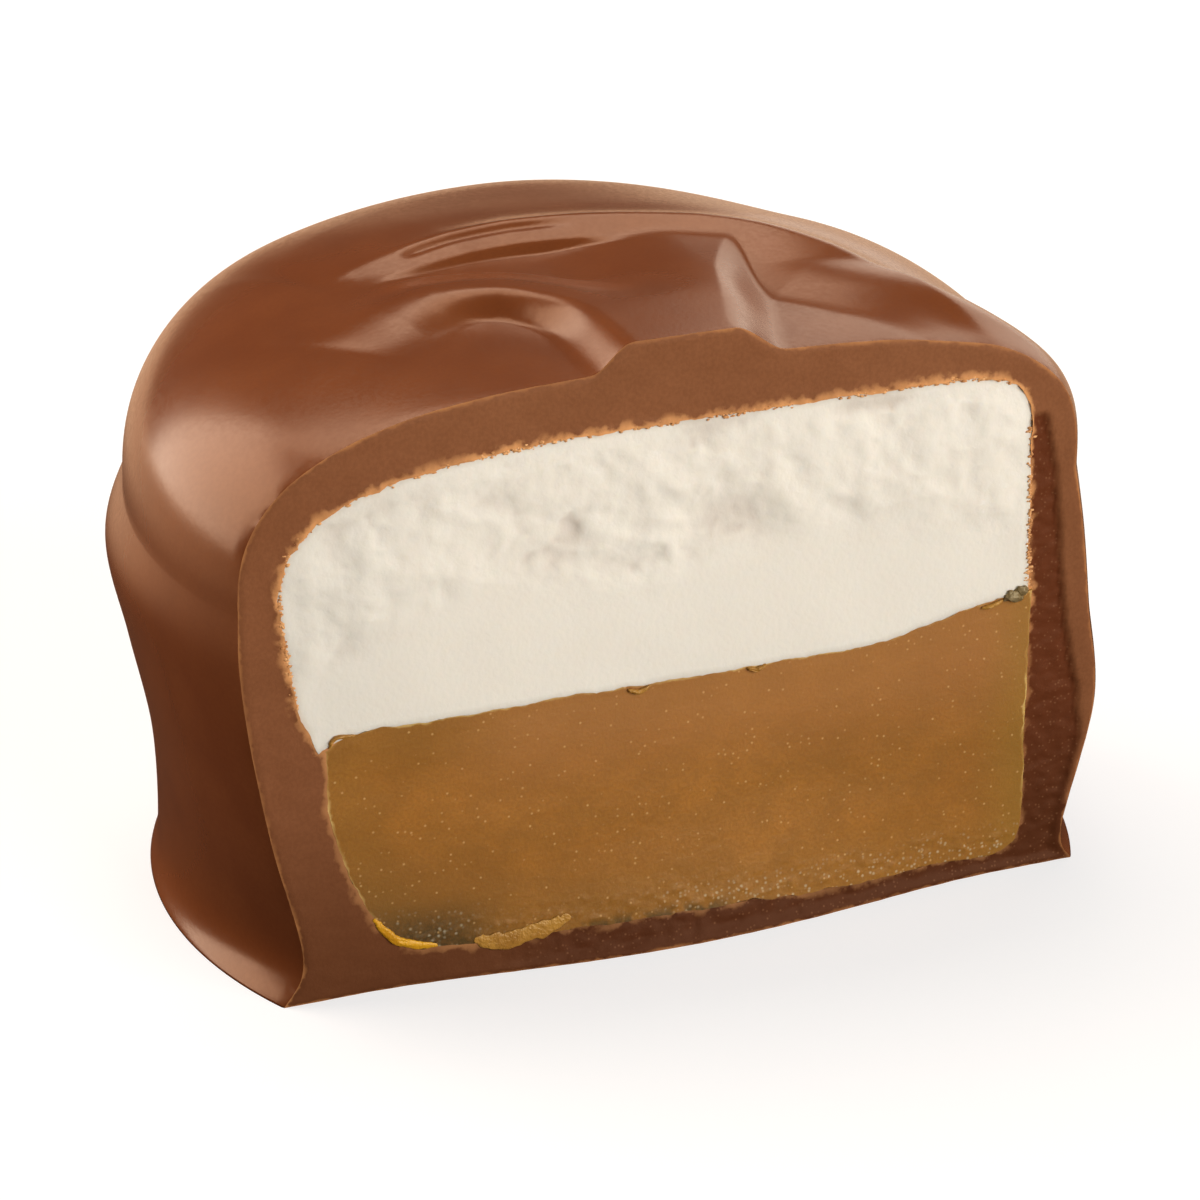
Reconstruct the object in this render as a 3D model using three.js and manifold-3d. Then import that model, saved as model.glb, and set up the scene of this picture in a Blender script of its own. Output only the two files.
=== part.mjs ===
// A round chocolate-covered caramel marshmallow, cut open so that its layers show.
//
// Millimetres, +Z up. The sweet is a low dome that was poured and set on a flat base. One straight
// cut takes off its front, so about seven tenths of the round are left. Three solids fill it: the
// chocolate coat, a fluffy marshmallow disc and, under that, a disc of firm caramel.
//
// Shapes are worked out round the dome's own upright axis. A bearing is an angle about that axis in
// degrees, counted from +X towards +Y. The cut face looks along -Y, with +X to its right. The
// finished group is moved so that the origin is the middle of the part's footprint box.

import * as THREE from "three";
import { mergeVertices } from "three/addons/utils/BufferGeometryUtils.js";
import Module from "manifold-3d";

// ---------------------------------------------------------------- driving dimensions

const CUT_OFFSET = 7.63; // from the dome's axis to the flat of the cut face
const CUT_SWELL = 0.97; // how far the soft filling pushes the foot of the cut face out
const CUT_SWELL_HEIGHT = 8.0; // where that swelling has died away
const CUT_SWELL_REACH = 12.0; // and how far it runs to either side

const GAP = 0.12; // between one layer and the next

// The coat's outer form at named bearings: radii and heights up the wall, then the shoulder, which
// runs from the brow over to the crown's level edge. A squareness of 2 is an elliptic arc.
const HIP_HEIGHT = 6.1;
const WAIST_HEIGHT = 9.9;
const BELLY_HEIGHT = 12.7;
const CROWN_HEIGHT = 21.05;
const COAT = [
  // the right end of the cut: a bulge low down, a nearly upright wall and a square shoulder
  { bearing: -27.6, foot: 16.48, neck: 16.1, neckHeight: 1.35, hip: 17.0, waist: 16.62, belly: 16.32,
    brow: 15.93, browHeight: 15.2, crownEdge: 4.0, squareness: 3.1 },
  // right of the back: the shoulder slopes away early
  { bearing: -12, foot: 16.45, neck: 16.2, neckHeight: 1.2, hip: 17.05, waist: 16.6, belly: 16.25,
    brow: 15.85, browHeight: 13.7, crownEdge: 4.5, squareness: 2.1 },
  { bearing: 32, foot: 16.4, neck: 16.1, neckHeight: 1.5, hip: 16.8, waist: 16.7, belly: 16.5,
    brow: 16.3, browHeight: 14.0, crownEdge: 5.0, squareness: 2.2 },
  // the back, full and round
  { bearing: 90, foot: 16.4, neck: 16.1, neckHeight: 1.6, hip: 16.6, waist: 17.0, belly: 17.1,
    brow: 17.0, browHeight: 14.9, crownEdge: 6.0, squareness: 2.9 },
  { bearing: 125, foot: 16.5, neck: 16.15, neckHeight: 1.6, hip: 16.4, waist: 16.95, belly: 17.2,
    brow: 16.95, browHeight: 14.8, crownEdge: 6.0, squareness: 2.8 },
  // the left flank: a bulge at the belly under a slight dent
  { bearing: 159, foot: 16.55, neck: 16.22, neckHeight: 1.6, hip: 16.25, waist: 16.95, belly: 17.5,
    brow: 16.75, browHeight: 14.8, crownEdge: 6.0, squareness: 2.6 },
  // the left end of the cut
  { bearing: 207.6, foot: 16.48, neck: 15.85, neckHeight: 1.7, hip: 16.66, waist: 17.2, belly: 17.43,
    brow: 17.4, browHeight: 14.6, crownEdge: 6.0, squareness: 2.6 },
  // the front, which the cut takes off
  { bearing: 270, foot: 16.5, neck: 16.0, neckHeight: 1.6, hip: 16.8, waist: 16.9, belly: 16.9,
    brow: 16.8, browHeight: 15.0, crownEdge: 6.0, squareness: 2.7 },
];

// The marshmallow: its side is upright on the right and curls in towards the foot on the left.
const MARSHMALLOW = [
  { bearing: -31, foot: 14.82, flank: 14.78, brow: 14.65, browHeight: 17.3, crownEdge: 12.6, squareness: 2.2 },
  { bearing: 15, foot: 14.8, flank: 14.7, brow: 14.6, browHeight: 13.8, crownEdge: 5.0, squareness: 2.2 },
  { bearing: 90, foot: 14.7, flank: 15.1, brow: 15.2, browHeight: 14.4, crownEdge: 5.0, squareness: 2.5 },
  { bearing: 209, foot: 14.9, flank: 15.5, brow: 15.9, browHeight: 14.6, crownEdge: 5.0, squareness: 2.75 },
];
const MARSHMALLOW_CENTRE = -0.35; // along X, from the dome's axis
const MARSHMALLOW_CROWN = 19.05;
const FLANK_RISE = 1.9; // the flank is this far above the foot

// The caramel: a disc whose lower edge is slack and wide on the left and tight on the right.
const CARAMEL = [
  { bearing: -31, rim: 14.77, flatEdge: 14.0, cornerHeight: 1.9, squareness: 2.2 },
  { bearing: 90, rim: 14.8, flatEdge: 12.6, cornerHeight: 3.4, squareness: 2.0 },
  { bearing: 211, rim: 14.86, flatEdge: 12.2, cornerHeight: 7.8, squareness: 1.6 },
];
const CARAMEL_CENTRE = -0.15;
const CARAMEL_FLOOR_LEFT = 1.3; // its underside comes down a little towards the right
const CARAMEL_FLOOR_RIGHT = 0.85;
const CARAMEL_FLOOR_TURN = [-4.0, 8.0];

// The level of the seam between the two fillings, which climbs towards the right.
const SEAM_HEIGHT = 9.8;
const SEAM_CLIMB = 1.05;
const SEAM_CLIMB_FROM = 6.0;
const SEAM_CLIMB_TO = 12.4;
const SEAM_DROOP = 0.5; // at its left end the marshmallow hangs over the caramel's edge
const SEAM_DROOP_FROM = -11.6;
const SEAM_DROOP_TO = -13.0;

// The swirl that the pour left on the crown: a broad raised fold that runs back from the cut and
// whose left edge hooks round a hollow, and a long ridge that sweeps round behind it.
const SWIRL_REACH = 11.5; // the swirl is whole inside this radius
const SWIRL_END = 15.0; // and gone at this one
const SHEET = {
  left: [[-3.0, -9.5], [-3.0, -6.2], [-2.8, -4.4], [-2.7, -2.9], [-3.3, -1.6], [-4.4, -0.6], [-5.6, -0.1],
    [-7.0, -0.7], [-8.6, -1.9], [-10.2, -3.4]], // points (x, y) along its left edge
  rise: [1.0, 1.0, 1.0, 1.0, 1.05, 1.0, 0.92, 0.78, 0.5, 0.0], // its height along that edge
  slope: [1.9, 1.8, 1.7, 1.4, 1.3, 1.7, 2.6, 3.3, 3.8, 4.0], // and how wide the edge's slope is in plan
  fall: 0.6, // the share of its height that it loses behind the hook
  fallSpan: [1.2, 3.4], // this far in from the edge
  fallSide: [3.0, -2.0], // between these places along X
  fallBack: [-3.0, 0.0], // and these along Y
  sink: 0.2, // the share that all of it loses on its way back
  sinkBack: [-5.0, 1.0],
  right: [[2.3, -9.0], [2.3, -7.4], [3.1, -4.8], [4.0, -2.0], [5.2, 0.2], [6.6, 2.2]],
  rightSlope: 2.0,
};
const RIDGE = {
  path: [[-9.6, 2.9], [-8.2, 3.5], [-6.6, 3.9], [-4.4, 4.35], [-2.2, 4.45], [0.2, 4.1], [2.3, 3.4],
    [4.2, 2.5], [5.9, 1.2], [7.7, -0.9], [9.3, -3.3], [10.4, -5.8], [11.2, -8.4]],
  rise: [0.0, 0.45, 0.7, 0.95, 1.08, 1.14, 1.15, 1.15, 1.1, 1.0, 0.75, 0.45, 0.1],
  face: [1.7, 1.7, 1.6, 1.4, 1.3, 1.2, 1.4, 3.2, 4.2, 4.8, 4.4, 3.2, 2.0], // how wide its front is in plan
  bulge: [1.25, 1.25, 1.25, 1.3, 1.35, 1.4, 1.35, 1.15, 1.0, 1.0, 1.0, 1.0, 1.0], // 1 is a straight slope
  drop: [0.1, 0.1, 0.15, 0.2, 0.25, 0.3, 0.3, 0.3, 0.3, 0.3, 0.3, 0.3, 0.3], // the step down just behind it
  back: 0.8, // how wide that step is
  tail: 4.5, // and how far back the rest of it runs
};
const CREASE = { path: [[-6.4, 3.55], [-4.4, 4.0], [-2.2, 4.1], [0.2, 3.75]], depth: 0.1, width: 0.15 };
const DIP = { at: [9.0, -6.0], depth: 0.3, width: 2.2 }; // in the slope at the right
const JOIN_WIDTH = 0.12; // how softly the fold and the ridge run into each other

// How finely the faceted solids follow these forms
const COAT_BEARINGS = 96;
const FILLING_BEARINGS = 72;
const WALL_STEPS = 12;
const SHOULDER_STEPS = 8;
const SHOULDER_TURN = 60; // degrees of the shoulder's curve that are stepped by angle
const CROWN_STEPS = 17;

const MILK_CHOCOLATE = new THREE.MeshStandardMaterial({ color: 0x784226, roughness: 0.38, metalness: 0 });
const IVORY_FOAM = new THREE.MeshStandardMaterial({ color: 0xe8e2d4, roughness: 0.9, metalness: 0 });
const AMBER_CARAMEL = new THREE.MeshStandardMaterial({ color: 0xa0692d, roughness: 0.5, metalness: 0 });

// ---------------------------------------------------------------- small helpers

const { clamp, degToRad, euclideanModulo, lerp, smootherstep, smoothstep } = THREE.MathUtils;

// One size of a form, blended between its two nearest named bearings.
function sizeAt(stations, key, bearing) {
  const count = stations.length;
  for (let i = 0; i < count; i++) {
    const from = stations[i];
    const to = stations[(i + 1) % count];
    const span = euclideanModulo(to.bearing - from.bearing, 360);
    const along = euclideanModulo(bearing - from.bearing, 360);
    if (along <= span) return lerp(from[key], to[key], smoothstep(along / span, 0, 1));
  }
  return stations[0][key];
}

// All the sizes of a form at one bearing.
function formAt(stations, bearing) {
  const keys = Object.keys(stations[0]);
  return Object.fromEntries(keys.map((key) => [key, sizeAt(stations, key, bearing)]));
}

// Points (radius, height) of the rounded edge between a side and a level face: it leaves the side
// at (rim, rimHeight) and reaches the level face at (edge, level).
function shoulderPoint({ rim, rimHeight, edge, level, squareness }, turn) {
  const power = 2 / squareness;
  return new THREE.Vector2(
    edge + (rim - edge) * Math.cos(turn) ** power,
    rimHeight + (level - rimHeight) * Math.sin(turn) ** power,
  );
}

// The height of that same rounded edge at a radius.
function shoulderHeight({ rim, rimHeight, edge, level, squareness }, radius) {
  const out = clamp((radius - edge) / (rim - edge), 0, 1);
  return rimHeight + (level - rimHeight) * (1 - out ** squareness) ** (1 / squareness);
}

// A smooth curve in plan through a few points, as a run of short steps.
function planCurve(points) {
  const curve = new THREE.SplineCurve(points.map(([x, y]) => new THREE.Vector2(x, y)));
  return curve.getPoints(8 * points.length);
}

// ---------------------------------------------------------------- the swirl

// The nearest place on a plan curve: how far off it is, how far along, and how squarely the point
// lies to its left, from -1 to 1.
function nearest(curve, x, y) {
  let best = { distance: Infinity };
  for (let i = 0; i + 1 < curve.length; i++) {
    const a = curve[i];
    const b = curve[i + 1];
    const [dx, dy] = [b.x - a.x, b.y - a.y];
    const t = clamp(((x - a.x) * dx + (y - a.y) * dy) / (dx * dx + dy * dy), 0, 1);
    const [offX, offY] = [x - a.x - t * dx, y - a.y - t * dy];
    const distance = Math.hypot(offX, offY);
    if (distance < best.distance) {
      const side = (dx * offY - dy * offX) / (Math.hypot(dx, dy) * distance + 1e-9);
      best = { distance, along: (i + t) / (curve.length - 1), side };
    }
  }
  return best;
}

// How far a place is from a plan curve, over zero on the curve's left, and how far along it.
function besideCurve(curve, x, y) {
  const { distance, along, side } = nearest(curve, x, y);
  return { off: side > 0 ? distance : -distance, along };
}

// A list of sizes, read at a share of the way along it.
function listed(sizes, along) {
  const place = along * (sizes.length - 1);
  const index = Math.min(Math.floor(place), sizes.length - 2);
  return lerp(sizes[index], sizes[index + 1], place - index);
}

const sheetLeft = planCurve(SHEET.left);
const sheetRight = planCurve(SHEET.right);
const ridgeCrest = planCurve(RIDGE.path);
const creaseLine = planCurve(CREASE.path);

function sheetHeight(x, y) {
  const { off, along } = besideCurve(sheetLeft, x, y);
  const left = smootherstep(0.5 - off / listed(SHEET.slope, along), 0, 1);
  const [sideFrom, sideTo] = SHEET.fallSide;
  const inward = smoothstep(-off, ...SHEET.fallSpan) * smoothstep(-x, -sideFrom, -sideTo);
  const fall = 1 - SHEET.fall * inward * smoothstep(y, ...SHEET.fallBack);
  const fromRight = besideCurve(sheetRight, x, y).off;
  const right = smoothstep(fromRight / SHEET.rightSlope, -0.5, 0.5);
  const sink = 1 - SHEET.sink * smoothstep(y, ...SHEET.sinkBack);
  return listed(SHEET.rise, along) * left * fall * right * sink;
}

function ridgeHeight(behind, along) {
  const rise = listed(RIDGE.rise, along);
  if (behind > 0) {
    const step = Math.exp(-((behind / RIDGE.back) ** 1.5));
    const tail = Math.exp(-((behind / RIDGE.tail) ** 2));
    return rise * lerp(tail, step, listed(RIDGE.drop, along));
  }
  const down = clamp(-behind / listed(RIDGE.face, along), 0, 1);
  const bulge = listed(RIDGE.bulge, along);
  return rise * (1 - down ** bulge) ** (1 / bulge);
}

function creaseDepth(x, y) {
  const { off, along } = besideCurve(creaseLine, x, y);
  const ends = smoothstep(along, 0, 0.15) * smoothstep(1 - along, 0, 0.3);
  return CREASE.depth * Math.exp(-((off / CREASE.width) ** 2)) * ends;
}

// The higher of the two forms, run softly into each other, less the crease and the dip.
function swirlHeight(x, y) {
  const { off: behind, along } = besideCurve(ridgeCrest, x, y);
  const ridge = ridgeHeight(behind, along);
  const beforeRidge = along > 0 ? 1 - smoothstep(behind, -0.5, 0.3) : 1;
  const sheet = sheetHeight(x, y) * beforeRidge;
  const share = clamp(0.5 + (0.5 * (sheet - ridge)) / JOIN_WIDTH, 0, 1);
  const joined = lerp(ridge, sheet, share) + JOIN_WIDTH * share * (1 - share);
  const toDip = Math.hypot(x - DIP.at[0], y - DIP.at[1]);
  const dip = DIP.depth * Math.exp(-((toDip / DIP.width) ** 2));
  const fade = 1 - smoothstep(Math.hypot(x, y), SWIRL_REACH, SWIRL_END);
  return fade * (joined - creaseDepth(x, y) - dip);
}

// ---------------------------------------------------------------- profiles, foot to crown

function seamHeight(x) {
  const climb = SEAM_CLIMB * smoothstep(x, SEAM_CLIMB_FROM, SEAM_CLIMB_TO);
  const droop = SEAM_DROOP * smoothstep(-x, -SEAM_DROOP_FROM, -SEAM_DROOP_TO);
  return SEAM_HEIGHT + climb - droop;
}

// From the shoulder's start over to the axis, evenly in angle first and then evenly in radius.
function shoulderAndCrown(edge) {
  const points = [];
  for (let i = 1; i <= SHOULDER_STEPS; i++)
    points.push(shoulderPoint(edge, degToRad((SHOULDER_TURN * i) / SHOULDER_STEPS)));
  const start = points.at(-1).x;
  for (let i = 1; i <= CROWN_STEPS; i++) {
    const radius = start * (1 - i / CROWN_STEPS);
    points.push(new THREE.Vector2(radius, shoulderHeight(edge, radius)));
  }
  return points;
}

function coatProfile(bearing) {
  const form = formAt(COAT, bearing);
  const wall = new THREE.SplineCurve([
    new THREE.Vector2(form.foot, 0),
    new THREE.Vector2(form.neck, form.neckHeight),
    new THREE.Vector2(form.hip, HIP_HEIGHT),
    new THREE.Vector2(form.waist, WAIST_HEIGHT),
    new THREE.Vector2(form.belly, BELLY_HEIGHT),
    new THREE.Vector2(form.brow, form.browHeight),
  ]).getPoints(WALL_STEPS);
  const edge = { rim: form.brow, rimHeight: form.browHeight, edge: form.crownEdge, level: CROWN_HEIGHT,
    squareness: form.squareness };
  const angle = degToRad(bearing);
  const top = shoulderAndCrown(edge).map(({ x: radius, y: height }) => {
    const swirl = swirlHeight(radius * Math.cos(angle), radius * Math.sin(angle));
    return new THREE.Vector2(radius, height + swirl);
  });
  return [new THREE.Vector2(0, 0), ...wall, ...top];
}

// grow makes the same form larger all over, for the hollow that holds it.
function marshmallowProfile(bearing, grow) {
  const form = formAt(MARSHMALLOW, bearing);
  const along = Math.cos(degToRad(bearing));
  const floorAt = (radius) => seamHeight(MARSHMALLOW_CENTRE + radius * along) + GAP / 2 - grow;
  const floor = [0, 0.35, 0.7, 0.86].map((share) => {
    const radius = share * form.foot;
    return new THREE.Vector2(radius, floorAt(radius));
  });
  const foot = new THREE.Vector2(form.foot + grow, floorAt(form.foot));
  const brow = new THREE.Vector2(form.brow + grow, form.browHeight + grow);
  const flank = new THREE.Vector2(form.flank + grow, foot.y + FLANK_RISE);
  const side = new THREE.SplineCurve([foot, flank, brow]).getPoints(4);
  const edge = { rim: brow.x, rimHeight: brow.y, edge: form.crownEdge, level: MARSHMALLOW_CROWN + grow,
    squareness: form.squareness };
  const rounding = [15, 30, 45, 60, 75, 90].map((turn) => shoulderPoint(edge, degToRad(turn)));
  return [...floor, ...side, ...rounding, new THREE.Vector2(0, MARSHMALLOW_CROWN + grow)];
}

function caramelFloor(x) {
  const [from, to] = CARAMEL_FLOOR_TURN;
  return lerp(CARAMEL_FLOOR_LEFT, CARAMEL_FLOOR_RIGHT, smoothstep(x, from, to));
}

function caramelProfile(bearing, grow) {
  const form = formAt(CARAMEL, bearing);
  const along = Math.cos(degToRad(bearing));
  const floor = [0, 0.4, 0.8].map((share) => {
    const radius = share * form.flatEdge;
    return new THREE.Vector2(radius, caramelFloor(CARAMEL_CENTRE + radius * along) - grow);
  });
  const corner = { rim: form.rim + grow, rimHeight: form.cornerHeight, edge: form.flatEdge,
    level: caramelFloor(CARAMEL_CENTRE + form.flatEdge * along) - grow, squareness: form.squareness };
  const rounding = [90, 75, 60, 45, 30, 15, 0].map((turn) => shoulderPoint(corner, degToRad(turn)));
  const top = [1, 0.86, 0.7, 0.35, 0].map((share) => {
    const radius = share * form.rim;
    const height = seamHeight(CARAMEL_CENTRE + radius * along) - GAP / 2 + grow;
    return new THREE.Vector2(share === 1 ? radius + grow : radius, height);
  });
  return [...floor, ...rounding, ...top];
}

// ---------------------------------------------------------------- solids

const wasm = await Module();
wasm.setup();

function toSolid(geometry) {
  geometry.deleteAttribute("normal");
  geometry.deleteAttribute("uv");
  const merged = mergeVertices(geometry, 1e-4);
  return new wasm.Manifold(
    new wasm.Mesh({
      numProp: 3,
      vertProperties: merged.attributes.position.array,
      triVerts: new Uint32Array(merged.index.array),
    }),
  );
}

// A closed round body: a globe whose rings are laid on the profile of their own bearing.
function roundBody(profileAt, bearings, centreX = 0) {
  const rings = profileAt(0).length - 1;
  const globe = new THREE.SphereGeometry(1, bearings, rings).rotateX(Math.PI / 2);
  const { position, uv } = globe.attributes;
  const profiles = new Map();
  for (let i = 0; i < position.count; i++) {
    const meridian = Math.round(uv.getX(i) * bearings * 2) / 2;
    const bearing = ((meridian % bearings) * 360) / bearings + 180;
    if (!profiles.has(bearing)) profiles.set(bearing, profileAt(bearing));
    const { x: radius, y: height } = profiles.get(bearing)[Math.round(uv.getY(i) * rings)];
    const angle = degToRad(bearing);
    position.setXYZ(i, centreX + radius * Math.cos(angle), radius * Math.sin(angle), height);
  }
  return toSolid(globe);
}

// The block in front of the cut face, which swells out a little towards the middle of its foot.
function makeCutter() {
  const [width, depth, height] = [40, 12, 16];
  const lower = new THREE.BoxGeometry(width, depth, height, 40, 1, 20);
  lower.translate(0, -CUT_OFFSET - depth / 2, 0.45 * height);
  const upper = new THREE.BoxGeometry(width, depth, height);
  upper.translate(0, -CUT_OFFSET - depth / 2, 1.35 * height);
  const { position } = lower.attributes;
  for (let i = 0; i < position.count; i++) {
    if (position.getY(i) < -CUT_OFFSET - depth / 2) continue;
    const across = clamp(1 - (position.getX(i) / CUT_SWELL_REACH) ** 2, 0, 1);
    const down = clamp(1 - position.getZ(i) / CUT_SWELL_HEIGHT, 0, 1);
    position.setY(i, -CUT_OFFSET - CUT_SWELL * across ** 2 * down ** 2);
  }
  return toSolid(lower).add(toSolid(upper));
}

const cutter = makeCutter();
const marshmallowDisc = (grow) =>
  roundBody((bearing) => marshmallowProfile(bearing, grow), FILLING_BEARINGS, MARSHMALLOW_CENTRE);
const caramelDisc = (grow) =>
  roundBody((bearing) => caramelProfile(bearing, grow), FILLING_BEARINGS, CARAMEL_CENTRE);

// The largest body of a solid, without any loose scrap that a cut has left beside it.
function mainBody(solid) {
  return solid.decompose().reduce((a, b) => (a.volume() > b.volume() ? a : b));
}

const hollow = marshmallowDisc(GAP).add(caramelDisc(GAP));
const coat = mainBody(roundBody(coatProfile, COAT_BEARINGS).subtract(hollow).subtract(cutter));

// ---------------------------------------------------------------- the group

function toMesh(name, solid, material) {
  const { vertProperties, triVerts } = solid.getMesh();
  const geometry = new THREE.BufferGeometry()
    .setAttribute("position", new THREE.BufferAttribute(new Float32Array(vertProperties), 3))
    .setIndex(new THREE.BufferAttribute(new Uint32Array(triVerts), 1));
  geometry.computeVertexNormals();
  const mesh = new THREE.Mesh(geometry, material);
  mesh.name = name;
  return mesh;
}

const sweet = new THREE.Group();
sweet.add(
  toMesh("chocolate_coat", coat, MILK_CHOCOLATE),
  toMesh("marshmallow", marshmallowDisc(0).subtract(cutter), IVORY_FOAM),
  toMesh("caramel", caramelDisc(0).subtract(cutter), AMBER_CARAMEL),
);

const footprint = new THREE.Box3().setFromObject(sweet).getCenter(new THREE.Vector3());
sweet.position.set(-footprint.x, -footprint.y, 0);

export default sweet;
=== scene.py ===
"""A round chocolate-covered caramel marshmallow, cut open so that its layers show.

Sizes are in millimetres until a piece is finished, and are worked out round the dome's own upright
axis: a bearing is an angle about that axis in degrees, counted from +X towards +Y, and the cut face
looks along -Y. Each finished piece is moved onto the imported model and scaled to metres.
"""

import math

import bmesh
import bpy
import numpy as np
from mathutils import Matrix, Vector, noise
from mathutils.kdtree import KDTree


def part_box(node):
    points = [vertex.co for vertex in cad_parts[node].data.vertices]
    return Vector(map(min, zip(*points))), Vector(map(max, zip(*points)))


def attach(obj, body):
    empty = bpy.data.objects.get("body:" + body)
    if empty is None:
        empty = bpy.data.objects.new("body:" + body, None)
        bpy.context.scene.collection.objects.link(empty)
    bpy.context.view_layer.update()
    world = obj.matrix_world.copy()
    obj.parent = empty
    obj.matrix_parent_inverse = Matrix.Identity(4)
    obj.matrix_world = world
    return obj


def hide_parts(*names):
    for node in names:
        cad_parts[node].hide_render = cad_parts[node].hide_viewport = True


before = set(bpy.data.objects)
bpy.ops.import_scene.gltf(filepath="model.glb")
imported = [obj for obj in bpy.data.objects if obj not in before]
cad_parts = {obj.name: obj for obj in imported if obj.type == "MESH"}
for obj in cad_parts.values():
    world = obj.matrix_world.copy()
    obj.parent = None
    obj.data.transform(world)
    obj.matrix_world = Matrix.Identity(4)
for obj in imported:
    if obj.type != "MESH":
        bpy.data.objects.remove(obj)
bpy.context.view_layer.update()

MM = 0.001

# ---------------------------------------------------------------- driving dimensions, as in the solids

CUT_OFFSET = 7.63  # from the dome's axis to the flat of the cut face
CUT_SWELL = 0.97  # how far the soft filling pushes the foot of the cut face out
CUT_SWELL_HEIGHT = 8.0
CUT_SWELL_REACH = 12.0

HIP_HEIGHT = 6.1
WAIST_HEIGHT = 9.9
BELLY_HEIGHT = 12.7
CROWN_HEIGHT = 21.05
COAT = [
    dict(bearing=-27.6, foot=16.48, neck=16.1, neck_height=1.35, hip=17.0, waist=16.62, belly=16.32,
         brow=15.93, brow_height=15.2, crown_edge=4.0, squareness=3.1),
    dict(bearing=-12, foot=16.45, neck=16.2, neck_height=1.2, hip=17.05, waist=16.6, belly=16.25,
         brow=15.85, brow_height=13.7, crown_edge=4.5, squareness=2.1),
    dict(bearing=32, foot=16.4, neck=16.1, neck_height=1.5, hip=16.8, waist=16.7, belly=16.5,
         brow=16.3, brow_height=14.0, crown_edge=5.0, squareness=2.2),
    dict(bearing=90, foot=16.4, neck=16.1, neck_height=1.6, hip=16.6, waist=17.0, belly=17.1,
         brow=17.0, brow_height=14.9, crown_edge=6.0, squareness=2.9),
    dict(bearing=125, foot=16.5, neck=16.15, neck_height=1.6, hip=16.4, waist=16.95, belly=17.2,
         brow=16.95, brow_height=14.8, crown_edge=6.0, squareness=2.8),
    dict(bearing=159, foot=16.55, neck=16.22, neck_height=1.6, hip=16.25, waist=16.95, belly=17.5,
         brow=16.75, brow_height=14.8, crown_edge=6.0, squareness=2.6),
    dict(bearing=207.6, foot=16.48, neck=15.85, neck_height=1.7, hip=16.66, waist=17.2, belly=17.43,
         brow=17.4, brow_height=14.6, crown_edge=6.0, squareness=2.6),
    dict(bearing=270, foot=16.5, neck=16.0, neck_height=1.6, hip=16.8, waist=16.9, belly=16.9,
         brow=16.8, brow_height=15.0, crown_edge=6.0, squareness=2.7),
]

MARSHMALLOW = [
    dict(bearing=-31, foot=14.82, flank=14.78, brow=14.65, brow_height=17.3, crown_edge=12.6, squareness=2.2),
    dict(bearing=15, foot=14.8, flank=14.7, brow=14.6, brow_height=13.8, crown_edge=5.0, squareness=2.2),
    dict(bearing=90, foot=14.7, flank=15.1, brow=15.2, brow_height=14.4, crown_edge=5.0, squareness=2.5),
    dict(bearing=209, foot=14.9, flank=15.5, brow=15.9, brow_height=14.6, crown_edge=5.0, squareness=2.75),
]
MARSHMALLOW_CENTRE = -0.35
MARSHMALLOW_CROWN = 19.05
FLANK_RISE = 1.9

CARAMEL = [
    dict(bearing=-31, rim=14.77, flat_edge=14.0, corner_height=1.9, squareness=2.2),
    dict(bearing=90, rim=14.8, flat_edge=12.6, corner_height=3.4, squareness=2.0),
    dict(bearing=211, rim=14.86, flat_edge=12.2, corner_height=7.8, squareness=1.6),
]
CARAMEL_CENTRE = -0.15
CARAMEL_FLOOR_LEFT = 1.3
CARAMEL_FLOOR_RIGHT = 0.85
CARAMEL_FLOOR_TURN = (-4.0, 8.0)

SEAM_HEIGHT = 9.8
SEAM_CLIMB = 1.05
SEAM_CLIMB_SPAN = (6.0, 12.4)
SEAM_DROOP = 0.5
SEAM_DROOP_SPAN = (12.35, 12.9)

SWIRL_REACH = 11.5
SWIRL_END = 15.0
SHEET = dict(  # the broad raised fold: its left edge hooks round a hollow, height and slope along it
    left=[(-3.0, -9.5), (-3.0, -6.2), (-3.1, -4.2), (-3.6, -2.6), (-4.7, -1.4), (-6.3, -1.1), (-7.9, -1.7),
          (-9.4, -3.0)],
    rise=[1.0, 1.0, 1.0, 1.0, 1.0, 0.9, 0.55, 0.0],
    slope=[1.9, 1.9, 1.8, 1.4, 1.45, 2.3, 3.3, 3.8],
    sharp_foot=(0.3, 0.45),  # the hook's stretch of that edge starts here, as shares of the way
    foot_power=0.8,  # below 1 its slope starts more sharply at the foot
    fall=0.6,
    fall_span=(1.2, 3.4),
    fall_side=(3.0, -2.0),
    fall_back=(-4.2, 0.3),
    sink=0.2,
    sink_back=(-5.0, 1.0),
    right=[(2.3, -9.0), (2.3, -7.4), (3.1, -4.8), (4.0, -2.0), (5.2, 0.2), (6.6, 2.2)],
    right_slope=2.0,
)
RIDGE = dict(  # the long ridge behind it, from its left end; brink 1 is a steep foot, 0 a straight slope
    path=[(-9.6, 2.9), (-8.2, 3.5), (-6.6, 3.9), (-4.4, 4.35), (-2.2, 4.45), (0.2, 4.1), (2.3, 3.4),
          (4.2, 2.5), (5.9, 1.2), (7.7, -0.9), (9.3, -3.3), (10.4, -5.8), (11.2, -8.4)],
    rise=[0.0, 0.45, 0.7, 0.95, 1.08, 1.14, 1.15, 1.15, 1.1, 1.0, 0.75, 0.45, 0.1],
    face=[1.7, 1.8, 1.9, 1.9, 1.9, 1.9, 2.1, 3.1, 3.9, 4.1, 3.8, 3.0, 2.0],
    brink=[0.5, 0.8, 1.0, 1.0, 1.0, 1.0, 0.8, 0.3, 0.0, 0.0, 0.0, 0.0, 0.0],
    drop=[0.1, 0.1, 0.15, 0.2, 0.25, 0.3, 0.3, 0.3, 0.3, 0.3, 0.3, 0.3, 0.3],
    back=0.8,
    tail=4.5,
)
BRINK_START = 0.6  # where a steep foot begins, as a share of the front's width
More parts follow.
